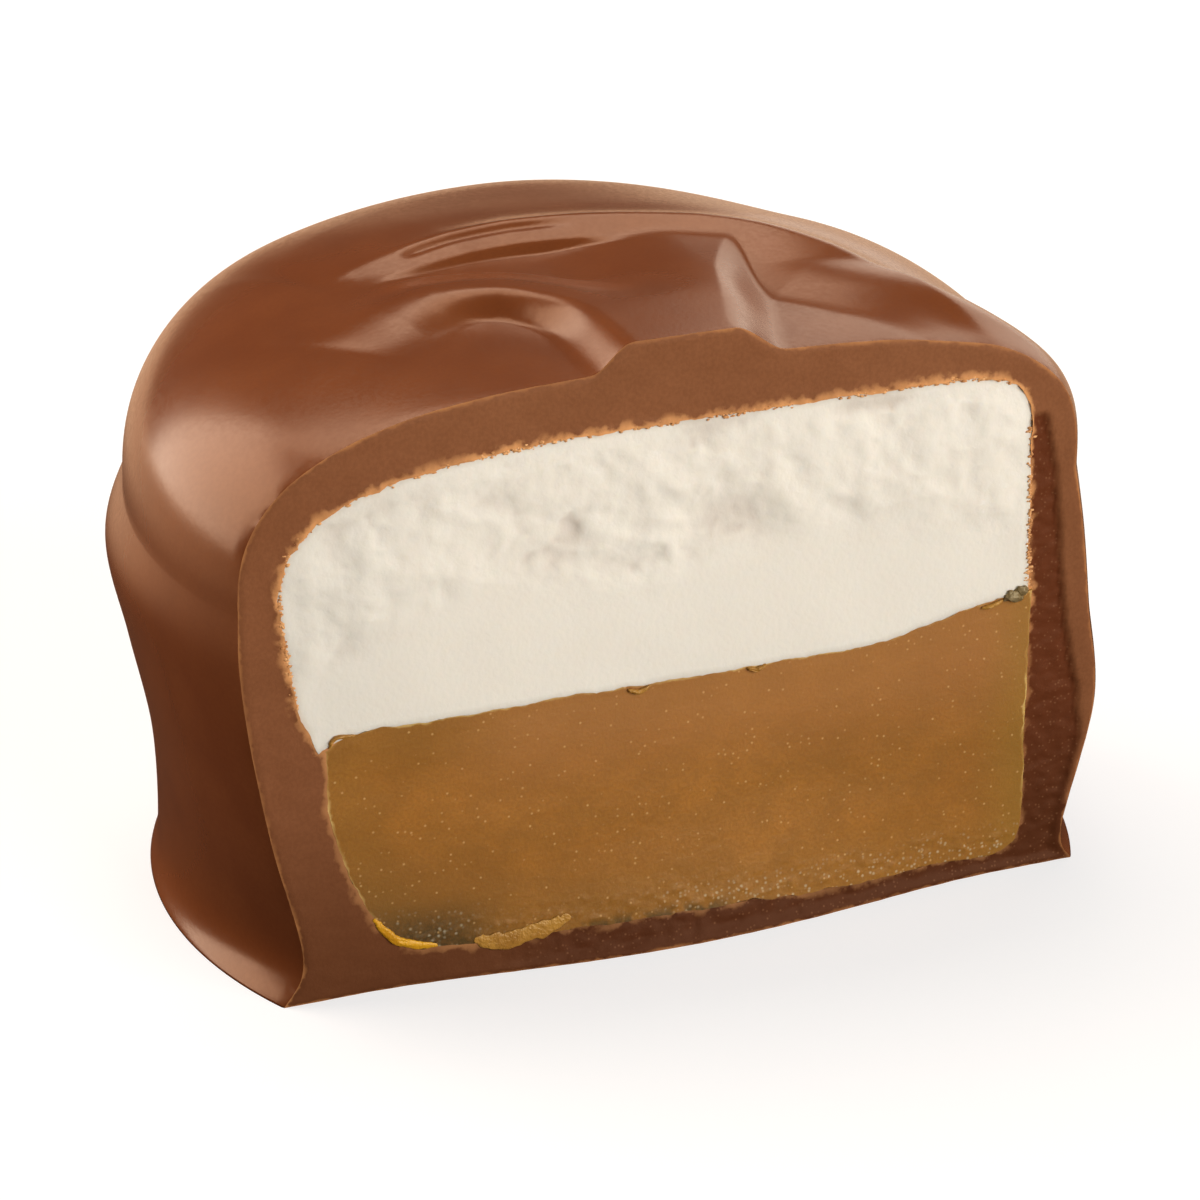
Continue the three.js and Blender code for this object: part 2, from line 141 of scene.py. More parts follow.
BRINK_FALL = 0.36  # and the share of its height that the front has lost by there
CREASE = dict(path=[(-6.4, 3.55), (-4.4, 4.0), (-2.2, 4.1), (0.2, 3.75)], depth=0.1, width=0.15)
DIP = dict(at=(10.0, -6.4), depth=0.25, width=1.6)
JOIN_WIDTH = 0.12

# ---------------------------------------------------------------- the cut face and its small bits

STRIP_START = 12.2  # the broken strip of the right wall lies right of this
STRIP_EDGE = [(15.5, 1.6), (14.2, 2.3), (14.75, 4.8), (14.5, 6.8), (14.0, 9.0), (13.6, 12.0), (13.3, 15.2),
              (12.75, 17.5)]  # and left of this line: x and z, from its foot up
BROKEN_BASE_SPAN = (-9.0, -4.0)
BROKEN_STEP = 0.16
EDGE_ROUNDING = 0.05
WEAR = 0.02
SKIN_GIVE = 0.15  # the outside gives way with the rounded edge this far behind it
FRINGE_RISE = 0.1
FRINGE_HEIGHTS = (8.0, 12.0)  # it grows from nothing to its full size between these heights
FRINGE_RIGHT = (12.5, 13.5)  # and stands out less down the right wall
FRINGE_LOSS = 0.9
CRUMB_RIGHT = (13.0, 14.0)
CRUMB_LOSS = 0.75
FRINGE_CRUMBS = 520
FRINGE_SEED = 11
RIM_WAVE = 0.07
RIM_GRAIN = 0.035
FOOT_WAVE = 0.16
FOAM_BAND = [(-14.0, 11.5), (-10.9, 13.0), (-7.0, 14.0), (-3.0, 13.4), (-1.4, 13.1), (0.7, 14.2), (5.8, 14.3),
             (9.4, 13.5), (12.4, 13.0)]  # where the smooth band of the marshmallow ends: x and z
FOAM_LUMPS = 0.2
FOAM_TUFTS = 0.09
FOAM_PORES = 0.08
FOAM_SMOOTH_SWELL = 0.06
FOAM_ROUNDING = 0.02
FOAM_CURL = dict(
    path=[(-2.2, 14.7), (-1.1, 14.8), (-0.7, 14.15), (-1.0, 13.5), (-1.6, 13.0)],
    rise=0.07,
    width=0.3,
)
SEAM_OVERHANG = 0.03  # how far the soft marshmallow hangs out over the caramel
SYRUP = [
    dict(path=[(-11.45, 2.8), (-10.8, 1.95), (-10.15, 1.6), (-9.25, 1.4)],
         half_width=0.17, half_depth=0.08, lift=0.02),
]
SMEARS = [
    dict(path=[(-8.0, 1.4), (-7.0, 1.2), (-5.9, 1.38), (-4.6, 1.75)],
         half_width=0.33, half_depth=0.04, lift=0.02),
    dict(path=[(-2.4, 9.7), (-2.0, 9.56), (-1.6, 9.72)], half_width=0.09, half_depth=0.1, lift=0.04),
    dict(path=[(1.9, 9.76), (2.25, 9.64), (2.6, 9.78)], half_width=0.09, half_depth=0.1, lift=0.04),
    dict(path=[(10.6, 10.5), (11.0, 10.55), (11.4, 10.68)], half_width=0.08, half_depth=0.1, lift=0.04),
    dict(path=[(-12.8, 9.4), (-12.6, 9.74), (-11.9, 9.74)], half_width=0.07, half_depth=0.1, lift=0.04),
]
SEAM_CRUMB = [((11.75, 10.78), 0.26), ((12.1, 10.95), 0.2), ((11.95, 10.72), 0.18)]
CUT_PAINTED_SHADE = (0.5, 9.0)  # painted shade: the cut chocolate turns darker from the upper of these heights to the lower

CAMERA_AZIMUTH = 21.02  # the camera stands this far to the left of the cut face's square-on view
CAMERA_ELEVATION = 25.0
CAMERA_AIM = Vector((-3.375, -7.63, 13.14))  # a point of the cut face, from the dome's axis
CAMERA_DISTANCE = 131.2

# ---------------------------------------------------------------- how finely the pieces are made

COAT_MERIDIANS = 320
BASE_RINGS = 4
WALL_RINGS = 64
SHOULDER_RINGS = 40
CROWN_RINGS = 96
SHOULDER_TURN = 60  # degrees of the shoulder's curve that are stepped by angle
FILLING_MERIDIANS = 168
FLAT_RINGS = 16
SIDE_RINGS = 36
ROUNDING_RINGS = 20
PATH_STEPS = 12  # steps of a path in plan from one of its points to the next
CUT_GRID = 300  # steps along each side of the block that cuts the sweet
FLAKE_STEPS = 1  # how often a torn flake's ball is subdivided
CRUMB_STEPS = 3  # and the seam crumb's

SKIN, CUT, HOLLOW = 0, 1, 2  # the kinds of face on a piece, which are also its material slots


# ---------------------------------------------------------------- small helpers

def blend(start, end, share):
    return start + (end - start) * share


def smooth_share(value, start, end):
    share = np.clip((value - start) / (end - start), 0, 1)
    return share * share * (3 - 2 * share)


def smoother_share(value):
    share = np.clip(value, 0, 1)
    return share**3 * (share * (share * 6 - 15) + 10)


def size_at(stations, key, bearing):
    """One size of a form at many bearings, blended between its two nearest named bearings."""
    first = stations[0]
    marks = np.array([form["bearing"] for form in stations] + [first["bearing"] + 360.0])
    sizes = np.array([form[key] for form in stations] + [first[key]])
    turned = (bearing - marks[0]) % 360 + marks[0]
    index = np.clip(np.searchsorted(marks, turned, side="right") - 1, 0, len(stations) - 1)
    share = smooth_share(turned, marks[index], marks[index + 1])
    return blend(sizes[index], sizes[index + 1], share)


def smooth_curve(points, share):
    """Places at a share of the way along smooth curves, which pass through the given points."""
    points = np.asarray(points, float)
    last = len(points) - 1
    place = np.clip(share, 0, 1) * last
    index = np.minimum(place.astype(int), last - 1)
    part = place - index

    def at(step):
        return np.take_along_axis(points, np.clip(index + step, 0, last)[None, :], axis=0)[0]

    before, start, end, after = at(-1), at(0), at(1), at(2)
    leave, arrive = (end - before) / 2, (after - start) / 2
    cubic = 2 * start - 2 * end + leave + arrive
    square = 3 * end - 3 * start - 2 * leave - arrive
    return ((cubic * part + square) * part + leave) * part + start


def plan_curve(points, steps):
    """A smooth curve in plan through a few points, as rows of x and y."""
    share = np.linspace(0, 1, steps + 1)
    xs = smooth_curve([np.full(steps + 1, x) for x, _ in points], share)
    ys = smooth_curve([np.full(steps + 1, y) for _, y in points], share)
    return np.column_stack([xs, ys])


# ---------------------------------------------------------------- the swirl

def nearest_on(curve, x, y):
    """How far each place is from a plan curve, how far along it, and how squarely to its left."""
    distance = np.full(x.shape, np.inf)
    along = np.zeros(x.shape)
    side = np.zeros(x.shape)
    steps = len(curve) - 1
    for i in range(steps):
        (ax, ay), (bx, by) = curve[i], curve[i + 1]
        dx, dy = bx - ax, by - ay
        part = np.clip(((x - ax) * dx + (y - ay) * dy) / (dx * dx + dy * dy), 0, 1)
        off_x, off_y = x - ax - part * dx, y - ay - part * dy
        off = np.hypot(off_x, off_y)
        closer = off < distance
        distance[closer] = off[closer]
        along[closer] = ((i + part) / steps)[closer]
        side[closer] = ((dx * off_y - dy * off_x) / (math.hypot(dx, dy) * off + 1e-9))[closer]
    return distance, along, side


def along_path(path, x, y):
    """Signed distance from a path in plan, over zero on its left, and the share of the way along."""
    distance, along, side = nearest_on(plan_curve(path, PATH_STEPS * len(path)), x, y)
    return np.where(side > 0, distance, -distance), along


def listed(values, along):
    return np.interp(along, np.linspace(0, 1, len(values)), values)


def fading_ends(along, first, last):
    """1 along the middle of a path, fading to 0 over a share of it at each end."""
    return smooth_share(along, 0, first) * smooth_share(1 - along, 0, last)


def sheet_height(x, y):
    off, along = along_path(SHEET["left"], x, y)
    up = np.clip(0.5 - off / listed(SHEET["slope"], along), 0, 1)
    left = smoother_share(up ** blend(1, SHEET["foot_power"], smooth_share(along, *SHEET["sharp_foot"])))
    inward = smooth_share(-off, *SHEET["fall_span"]) * smooth_share(x, *SHEET["fall_side"])
    fall = 1 - SHEET["fall"] * inward * smooth_share(y, *SHEET["fall_back"])
    from_right, _ = along_path(SHEET["right"], x, y)
    right = smooth_share(from_right / SHEET["right_slope"], -0.5, 0.5)
    sink = 1 - SHEET["sink"] * smooth_share(y, *SHEET["sink_back"])
    return listed(SHEET["rise"], along) * left * fall * right * sink


def ridge_height(behind, along):
    """The ridge, from how far behind its crest line a place is and how far along."""
    down = np.clip(-behind / listed(RIDGE["face"], along), 0, 1)
    stepped = 1 - BRINK_FALL * np.minimum(down / BRINK_START, 1)
    stepped = stepped - (1 - BRINK_FALL) * smooth_share(down, BRINK_START, 1)
    front = blend(1 - down, stepped, listed(RIDGE["brink"], along))
    past = np.maximum(behind, 0)
    drop = listed(RIDGE["drop"], along)
    back = blend(np.exp(-((past / RIDGE["tail"]) ** 2)), np.exp(-((past / RIDGE["back"]) ** 1.5)), drop)
    return listed(RIDGE["rise"], along) * np.where(behind > 0, back, front)


def crease_depth(x, y):
    off, along = along_path(CREASE["path"], x, y)
    ends = fading_ends(along, 0.15, 0.3)
    return CREASE["depth"] * np.exp(-((off / CREASE["width"]) ** 2)) * ends


def swirl_height(x, y):
    behind, along = along_path(RIDGE["path"], x, y)
    ridge = ridge_height(behind, along)
    sheet = sheet_height(x, y) * (1 - smooth_share(behind, -0.5, 0.3) * smooth_share(along, 0, 0.1))
    share = np.clip(0.5 + 0.5 * (sheet - ridge) / JOIN_WIDTH, 0, 1)
    height = blend(ridge, sheet, share) + JOIN_WIDTH * share * (1 - share) - crease_depth(x, y)
    away = np.hypot(x - DIP["at"][0], y - DIP["at"][1])
    height = height - DIP["depth"] * np.exp(-((away / DIP["width"]) ** 2))
    return height * (1 - smooth_share(np.hypot(x, y), SWIRL_REACH, SWIRL_END))


# ---------------------------------------------------------------- profiles, foot to crown

def seam_height(x):
    climb = SEAM_CLIMB * smooth_share(x, *SEAM_CLIMB_SPAN)
    droop = SEAM_DROOP * smooth_share(-x, *SEAM_DROOP_SPAN)
    return SEAM_HEIGHT + climb - droop


def rounded_edge(turn, rim, rim_height, edge, level, squareness):
    """Radius and height on the rounded edge from a side to a level face, by its turn in degrees."""
    power = 2 / squareness
    radius = edge + (rim - edge) * np.abs(np.cos(np.radians(turn))) ** power
    height = rim_height + (level - rim_height) * np.abs(np.sin(np.radians(turn))) ** power
    return radius, height


def coat_profile(bearing, ring):
    """Radius and height of the coat's outside at a bearing and a ring, ring 0 being under the axis."""
    form = {key: size_at(COAT, key, bearing) for key in COAT[0] if key != "bearing"}
    base = np.clip(ring / BASE_RINGS, 0, 1)
    wall = np.clip((ring - BASE_RINGS) / WALL_RINGS, 0, 1)
    shoulder = np.clip((ring - BASE_RINGS - WALL_RINGS) / SHOULDER_RINGS, 0, 1)
    crown = np.clip((ring - BASE_RINGS - WALL_RINGS - SHOULDER_RINGS) / CROWN_RINGS, 0, 1)

    level = np.full(bearing.shape, 1.0)
    wall_radii = [form[key] for key in ("foot", "neck", "hip", "waist", "belly", "brow")]
    wall_heights = [0 * level, form["neck_height"], HIP_HEIGHT * level, WAIST_HEIGHT * level,
                    BELLY_HEIGHT * level, form["brow_height"]]
    radius = base * smooth_curve(wall_radii, wall)
    height = smooth_curve(wall_heights, wall)

    edge = (form["brow"], form["brow_height"], form["crown_edge"], CROWN_HEIGHT, form["squareness"])
    shoulder_radius, shoulder_height = rounded_edge(SHOULDER_TURN * shoulder, *edge)
    on_shoulder = shoulder > 0
    radius = np.where(on_shoulder, shoulder_radius, radius)
    height = np.where(on_shoulder, shoulder_height, height)

    start_radius, _ = rounded_edge(SHOULDER_TURN, *edge)
    crown_radius = start_radius * (1 - crown)
    out = np.clip((crown_radius - edge[2]) / (edge[0] - edge[2]), 0, 1)
    crown_height = edge[1] + (edge[3] - edge[1]) * (1 - out ** edge[4]) ** (1 / edge[4])
    on_crown = crown > 0
    radius = np.where(on_crown, crown_radius, radius)
    height = np.where(on_crown, crown_height, height)

    swirled = on_shoulder & (radius < SWIRL_END)
    around = np.radians(bearing[swirled])
    height[swirled] += swirl_height(radius[swirled] * np.cos(around), radius[swirled] * np.sin(around))
    return radius, height


def marshmallow_profile(bearing, ring):
    form = {key: size_at(MARSHMALLOW, key, bearing) for key in MARSHMALLOW[0] if key != "bearing"}
    along = np.cos(np.radians(bearing))
    floor = np.clip(ring / FLAT_RINGS, 0, 1)
    side = np.clip((ring - FLAT_RINGS) / SIDE_RINGS, 0, 1)
    turn = np.clip((ring - FLAT_RINGS - SIDE_RINGS) / ROUNDING_RINGS, 0, 1)
    top = np.clip((ring - FLAT_RINGS - SIDE_RINGS - ROUNDING_RINGS) / FLAT_RINGS, 0, 1)

    foot_height = seam_height(MARSHMALLOW_CENTRE + form["foot"] * along)
    radius = floor * smooth_curve([form["foot"], form["flank"], form["brow"]], side)
    side_height = smooth_curve([foot_height, foot_height + FLANK_RISE, form["brow_height"]], side)
    floor_height = seam_height(MARSHMALLOW_CENTRE + floor * form["foot"] * along)
    height = np.where(side > 0, side_height, floor_height)
    edge = (form["brow"], form["brow_height"], form["crown_edge"], MARSHMALLOW_CROWN, form["squareness"])
    round_radius, round_height = rounded_edge(90 * turn, *edge)
    radius = np.where(turn > 0, round_radius, radius)
    height = np.where(turn > 0, round_height, height)
    return np.where(top > 0, form["crown_edge"] * (1 - top), radius), height


def caramel_floor(x):
    return blend(CARAMEL_FLOOR_LEFT, CARAMEL_FLOOR_RIGHT, smooth_share(x, *CARAMEL_FLOOR_TURN))


def caramel_profile(bearing, ring):
    form = {key: size_at(CARAMEL, key, bearing) for key in CARAMEL[0] if key != "bearing"}
    along = np.cos(np.radians(bearing))
    floor = np.clip(ring / FLAT_RINGS, 0, 1)
    turn = np.clip((ring - FLAT_RINGS) / ROUNDING_RINGS, 0, 1)
    side = np.clip((ring - FLAT_RINGS - ROUNDING_RINGS) / SIDE_RINGS, 0, 1)
    top = np.clip((ring - FLAT_RINGS - ROUNDING_RINGS - SIDE_RINGS) / FLAT_RINGS, 0, 1)

    flat_radius = floor * form["flat_edge"]
    edge_level = caramel_floor(CARAMEL_CENTRE + form["flat_edge"] * along)
    edge = (form["rim"], form["corner_height"], form["flat_edge"], edge_level, form["squareness"])
    round_radius, round_height = rounded_edge(90 * (1 - turn), *edge)
    radius = np.where(turn > 0, round_radius, flat_radius)
    height = np.where(turn > 0, round_height, caramel_floor(CARAMEL_CENTRE + flat_radius * along))
    rim_top = seam_height(CARAMEL_CENTRE + form["rim"] * along)
    height = np.where(side > 0, blend(form["corner_height"], rim_top, side), height)
    top_radius = form["rim"] * (1 - top)
    radius = np.where(top > 0, top_radius, radius)
    return radius, np.where(top > 0, seam_height(CARAMEL_CENTRE + top_radius * along), height)


# ---------------------------------------------------------------- meshes

def read_points(mesh):
    points = np.empty(len(mesh.vertices) * 3)
    mesh.vertices.foreach_get("co", points)
    return points.reshape(-1, 3)


def write_points(mesh, points):
    mesh.vertices.foreach_set("co", np.asarray(points, float).ravel())
    mesh.update()


def new_piece(name, mesh):
    piece = bpy.data.objects.new(name, mesh)
    bpy.context.scene.collection.objects.link(piece)
    return piece


def mesh_from(name, shape):
    mesh = bpy.data.meshes.new(name)
    shape.to_mesh(mesh)
    shape.free()
    return mesh


def round_body(name, meridians, rings, profile, centre_x=0.0, crowd=0.0):
    """A closed round body: a globe whose rings are laid on the profile of their own bearing.

    crowd draws the meridians together round the front, where the cut shows them."""
    shape = bmesh.new()
    bmesh.ops.create_uvsphere(shape, u_segments=meridians, v_segments=rings, radius=1.0)
    mesh = mesh_from(name, shape)
    points = read_points(mesh)
    ring = np.rint((1 - np.arccos(np.clip(points[:, 2], -1, 1)) / math.pi) * rings)
    turn = (np.degrees(np.arctan2(points[:, 1], points[:, 0])) - 90) % 360 / 180 - 1
    bearing = 270 + 180 * (turn * (1 - crowd) + turn**3 * crowd)
    radius, height = profile(bearing, ring)
    x = centre_x + radius * np.cos(np.radians(bearing))
    y = radius * np.sin(np.radians(bearing))
    write_points(mesh, np.column_stack([x, y, height]))
    return new_piece(name, mesh)


def cut_depth(x, z):
    """Where the cut face stands: y at one place of it."""
    across = np.clip(1 - (x / CUT_SWELL_REACH) ** 2, 0, 1)
    down = np.clip(1 - z / CUT_SWELL_HEIGHT, 0, 1)
    return -CUT_OFFSET - CUT_SWELL * across**2 * down**2


def cutting_block():
    """The block in front of the cut face. Its back is a fine grid, which the cut face takes over."""
    width, depth, height = 38.0, 12.0, 26.0
    shape = bmesh.new()
    bmesh.ops.create_cube(shape, size=1.0)
    bmesh.ops.scale(shape, vec=(width, depth, height), verts=shape.verts)
    bmesh.ops.translate(shape, vec=(0, -CUT_OFFSET - depth / 2, height / 2 - 1), verts=shape.verts)
    back = [face for face in shape.faces if face.normal.y > 0.5]
    bmesh.ops.subdivide_edges(shape, edges=back[0].edges[:], cuts=CUT_GRID, use_grid_fill=True)
    block = new_piece("cutting_block", mesh_from("cutting_block", shape))
    points = read_points(block.data)
    on_back = points[:, 1] > -CUT_OFFSET - 0.5
    points[on_back, 1] = cut_depth(points[on_back, 0], points[on_back, 2])
    write_points(block.data, points)
    return block


def mark_faces(piece, kind):
    mesh = piece.data
    mesh.materials.clear()
    for _ in (SKIN, CUT, HOLLOW):
        mesh.materials.append(None)
    mesh.polygons.foreach_set("material_index", [kind] * len(mesh.polygons))


def carve(piece, tool, operation="DIFFERENCE"):
    """Takes the tool's form out of the piece for good."""
    step = piece.modifiers.new("carve", "BOOLEAN")
    step.operation = operation
    step.solver = "MANIFOLD"
    step.object = tool
    graph = bpy.context.evaluated_depsgraph_get()
    carved = bpy.data.meshes.new_from_object(piece.evaluated_get(graph))
    piece.modifiers.clear()
    plain = piece.data
    piece.data = carved
    bpy.data.meshes.remove(plain)


def discard(tool):
    mesh = tool.data
    bpy.data.objects.remove(tool)
    bpy.data.meshes.remove(mesh)


def kinds_of_vertices(mesh):
    """For each kind of face, which vertices lie on one."""
    kinds = np.empty(len(mesh.polygons), int)
    mesh.polygons.foreach_get("material_index", kinds)
    counts = np.empty(len(mesh.polygons), int)
    mesh.polygons.foreach_get("loop_total", counts)
    corners = np.empty(len(mesh.loops), int)
    mesh.loops.foreach_get("vertex_index", corners)
    corner_kinds = np.repeat(kinds, counts)
    found = {}
    for kind in (SKIN, CUT, HOLLOW):
        found[kind] = np.zeros(len(mesh.vertices), bool)
        found[kind][corners[corner_kinds == kind]] = True
    return found


def distance_to(points, marks, asking, most=3.0):
    """How far each asking point is from the nearest marked one, up to a limit."""
    away = np.full(len(points), most)
    if not marks.any():
        return away
    tree = KDTree(int(marks.sum()))
    for index in np.flatnonzero(marks):
        tree.insert(points[index], int(index))
    tree.balance()
    for index in np.flatnonzero(asking):
        away[index] = min(tree.find(points[index])[2], most)
    return away


def store(mesh, name, values):
    attribute = mesh.attributes.new(name, "FLOAT", "POINT")
    attribute.data.foreach_set("value", np.asarray(values, np.float32))


def sharpen_borders(mesh):
    """Smooth shading, with a crease where one kind of face meets another."""
    shape = bmesh.new()
    shape.from_mesh(mesh)
    for face in shape.faces:
        face.smooth = True
    for edge in shape.edges:
        edge.smooth = len({face.material_index for face in edge.link_faces}) == 1
    shape.to_mesh(mesh)
    shape.free()


# ---------------------------------------------------------------- how the knife left the cut face

def rough(places, size, seed, octaves=3):
    """Fractal roughness in the cut plane, about -1 to 1, whose widest lumps measure size."""
    return np.array([noise.fractal(Vector((x / size, seed, z / size)), 1.0, 2.0, octaves)
                     for x, _, z in places])


def strip_edge(z):
    """How far right the dark, broken strip of the right wall reaches, at a height."""
    return np.interp(z, [mark[1] for mark in STRIP_EDGE], [mark[0] for mark in STRIP_EDGE])


def broken_share(x, z):
    """Where the chocolate snapped instead of being sliced: the right wall and the thin base."""
    strip = (x > STRIP_START) * (1 - smooth_share(x, strip_edge(z) - 0.12, strip_edge(z) + 0.06))
    strip = strip * (1 - smooth_share(z, STRIP_EDGE[-1][1] - 0.3, STRIP_EDGE[-1][1]))
    base = smooth_share(x, *BROKEN_BASE_SPAN) * (1 - smooth_share(z, 1.6, 2.3))
    return np.maximum(strip, base)


def shift_rims(mesh, chosen, hold):
    """Makes the borders on the cut face uneven, by the same shift for every piece at one place."""
    points = read_points(mesh)
    places = points[chosen]
    low = 1 - smooth_share(places[:, 2], 2.0, 3.2)
    ease = hold[chosen]
    points[chosen, 0] += ease * (RIM_WAVE * rough(places, 1.3, 3.1) + RIM_GRAIN * rough(places, 0.35, 8.7))
    points[chosen, 2] += ease * (RIM_WAVE * rough(places, 1.1, 5.3) + RIM_GRAIN * rough(places, 0.3, 1.9)
                                 + FOOT_WAVE * low * rough(places, 1.7, 7.7))
    write_points(mesh, points)


def tag_cut(piece):
    """Works out how far each point of the piece's cut face is from the inner and outer borders."""
    mesh = piece.data
    points = read_points(mesh)
    kinds = kinds_of_vertices(mesh)
    inner = distance_to(points, kinds[CUT] & kinds[HOLLOW], kinds[CUT])
    outer = distance_to(points, kinds[CUT] & kinds[SKIN], kinds[CUT])
    return points, kinds[CUT], inner, outer


def finish_chocolate_cut():
    points, chosen, inner, outer = tag_cut(coat)
    shift_rims(coat.data, chosen, smooth_share(outer, 0.05, 0.7))
    moved = read_points(coat.data)
    places = points[chosen]
    broken = broken_share(places[:, 0], places[:, 2])
    crumb = np.clip(rough(places, 0.3, 12.3) + 0.35, 0, 1) * (1 - smooth_share(inner[chosen], 0.05, 0.32))
    crumb = crumb * smooth_share(places[:, 2], *FRINGE_HEIGHTS)
    crumb = crumb * (1 - FRINGE_LOSS * smooth_share(places[:, 0], *FRINGE_RIGHT))
    rounding = (1 - smooth_share(outer[chosen], 0.0, 0.16)) * EDGE_ROUNDING
    wear = WEAR * rough(places, 0.8, 2.2)
    snap = broken * smooth_share(outer[chosen], 0.0, 0.5) * (BROKEN_STEP + 0.05 * rough(places, 0.35, 9.4))
    moved[chosen, 1] += rounding + wear + snap - FRINGE_RISE * crumb
    skin_behind = np.clip(1 - (points[:, 1] - cut_depth(points[:, 0], points[:, 2])) / SKIN_GIVE, 0, 1)
    moved[:, 1] += np.where(chosen, 0, skin_behind * (EDGE_ROUNDING + WEAR))
    write_points(coat.data, moved)
    share = np.zeros(len(points))
    share[chosen] = broken
    store(coat.data, "broken", share)
    store(coat.data, "rim", inner)
    store(coat.data, "edge", outer)


def smooth_foam_top(x):
    """How high the smooth lower band of the marshmallow reaches."""
    return np.interp(x, [mark[0] for mark in FOAM_BAND], [mark[1] for mark in FOAM_BAND])


def finish_foam_cut():
    points, chosen, inner, _ = tag_cut(marshmallow)
    shift_rims(marshmallow.data, chosen, np.ones(len(points)))
    moved = read_points(marshmallow.data)
    places = points[chosen]
    x, z = places[:, 0], places[:, 2]
    pulled = smooth_share(z, smooth_foam_top(x) - 0.6, smooth_foam_top(x) + 1.2)
    lumps = rough(places, 3.0, 14.6, 4)
    tufts = 0.4 - np.abs(rough(places, 1.5, 4.8, 2))
    pores = np.clip(rough(places, 0.6, 6.6, 2) - 0.2, 0, 1) * smooth_share(-lumps, -0.1, 0.4)
    off, along = along_path(FOAM_CURL["path"], x, z)
    curl = np.exp(-((off / FOAM_CURL["width"]) ** 2)) * fading_ends(along, 0.3, 0.3)
    height = pulled * (FOAM_LUMPS * lumps + FOAM_TUFTS * tufts - FOAM_PORES * pores)
    height = height + FOAM_CURL["rise"] * curl + FOAM_SMOOTH_SWELL * rough(places, 4.5, 11.1, 2)
    at_seam = 1 - smooth_share(z - seam_height(x), 0.4, 1.0)
    near_border = (1 - smooth_share(inner[chosen], 0.0, 0.3)) ** 2
    round_off = blend(FOAM_ROUNDING, -SEAM_OVERHANG, at_seam) * near_border
    held = smooth_share(inner[chosen], 0.0, 0.9)
    moved[chosen, 1] += round_off - held * height
    write_points(marshmallow.data, moved)
    # depth is kept for the colour, which paints the low places darker as shade.
    depth = np.zeros(len(points))
    depth[chosen] = pulled * (lumps + 0.6 * tufts - 0.6 * pores) + 0.5 * curl
    store(marshmallow.data, "depth", depth)
    store(marshmallow.data, "rim", inner)


def finish_caramel_cut():
    points, chosen, inner, _ = tag_cut(caramel)
    shift_rims(caramel.data, chosen, np.ones(len(points)))
    moved = read_points(caramel.data)
    places = points[chosen]
    x, z = places[:, 0], places[:, 2]
    foot = 1 - smooth_share(z - caramel_floor(x), 0.3, 1.5)
    drag = 0.03 * rough(places * (0.4, 1, 1), 2.2, 10.2)
    grain = np.clip(rough(places, 0.28, 13.9), 0, 1)
    held = smooth_share(inner[chosen], 0.0, 0.4)
    moved[chosen, 1] -= held * (drag + (0.015 + 0.09 * foot) * grain)
    write_points(caramel.data, moved)
    share = np.zeros(len(points))
    share[chosen] = foot
    store(caramel.data, "foot", share)
    store(caramel.data, "rim", inner)


# ---------------------------------------------------------------- small loose bits on the cut

def face_at(x, z, lift=0.0):
    """A point on the cut face, lifted out of it."""
    return Vector((x, float(cut_depth(np.array(x), np.array(z))) - lift, z))


def smear(name, parts):
    """Drawn-out dabs, each laid along a path on the cut face, fullest in its middle."""
    whole = bmesh.new()
    for part in parts:
        dab = bmesh.new()
        bmesh.ops.create_uvsphere(dab, u_segments=20, v_segments=28, radius=1.0)
        route = plan_curve(part["path"], 60)
        for vert in dab.verts:
            share = (1 - vert.co.z) / 2
            place = share * (len(route) - 1)
            index = min(int(place), len(route) - 2)
            ahead = Vector(route[index + 1]) - Vector(route[index])
            middle = Vector(route[index]) + ahead * (place - index)
            across = Vector((-ahead.y, ahead.x)).normalized()
            ragged = 1 + 0.5 * noise.noise(Vector((place * 0.35, vert.co.x, part["half_width"])))
            spot = middle + across * vert.co.x * part["half_width"] * ragged
            ripple = 1 + 0.6 * noise.noise(Vector((spot.x, spot.y, vert.co.y)) * 4)
            vert.co = face_at(spot.x, spot.y, part["lift"] - vert.co.y * part["half_depth"] * ripple)
        scratch = bpy.data.meshes.new("dab")
        dab.to_mesh(scratch)
        dab.free()
        whole.from_mesh(scratch)
        bpy.data.meshes.remove(scratch)
    bmesh.ops.recalc_face_normals(whole, faces=whole.faces)
    for face in whole.faces:
        face.smooth = True
    return new_piece(name, mesh_from(name, whole))


def lump(shape, at, radius, stretch, seed, subdivisions):
    """One knobbly crumb."""
    made = bmesh.ops.create_icosphere(shape, subdivisions=subdivisions, radius=radius)["verts"]
    for vert in made:
        swell = 1 + 0.55 * noise.noise(vert.co / radius * 1.3 + Vector((seed, 0, 0)))
        vert.co = vert.co * Vector(stretch) * swell + at
    return made


def fringe_crumbs():
    """Torn crumbs of chocolate along the upper border of the marshmallow."""
    draw = np.random.default_rng(FRINGE_SEED)
    points = read_points(marshmallow.data)
    kinds = kinds_of_vertices(marshmallow.data)
    border = points[kinds[CUT] & kinds[HOLLOW]]
    border = border[border[:, 2] > SEAM_HEIGHT + 1.2]
    torn = np.clip(rough(border, 1.6, 21.5) + 0.55, 0, None)
    torn = torn * (1 - CRUMB_LOSS * smooth_share(border[:, 0], *CRUMB_RIGHT))
    chosen = draw.choice(len(border), FRINGE_CRUMBS, p=torn / torn.sum())
    shape = bmesh.new()
    for index in chosen:
        x, _, z = border[index] + draw.normal(0, 0.045, 3)
        size = draw.uniform(0.02, 0.06)
        stretch = draw.uniform((1.0, 0.6, 0.7), (2.4, 1.0, 1.3))
        lump(shape, face_at(x, z), size, stretch, float(index), FLAKE_STEPS)
    for face in shape.faces:
        face.smooth = True
    return new_piece("torn_chocolate_crumbs", mesh_from("torn_chocolate_crumbs", shape))


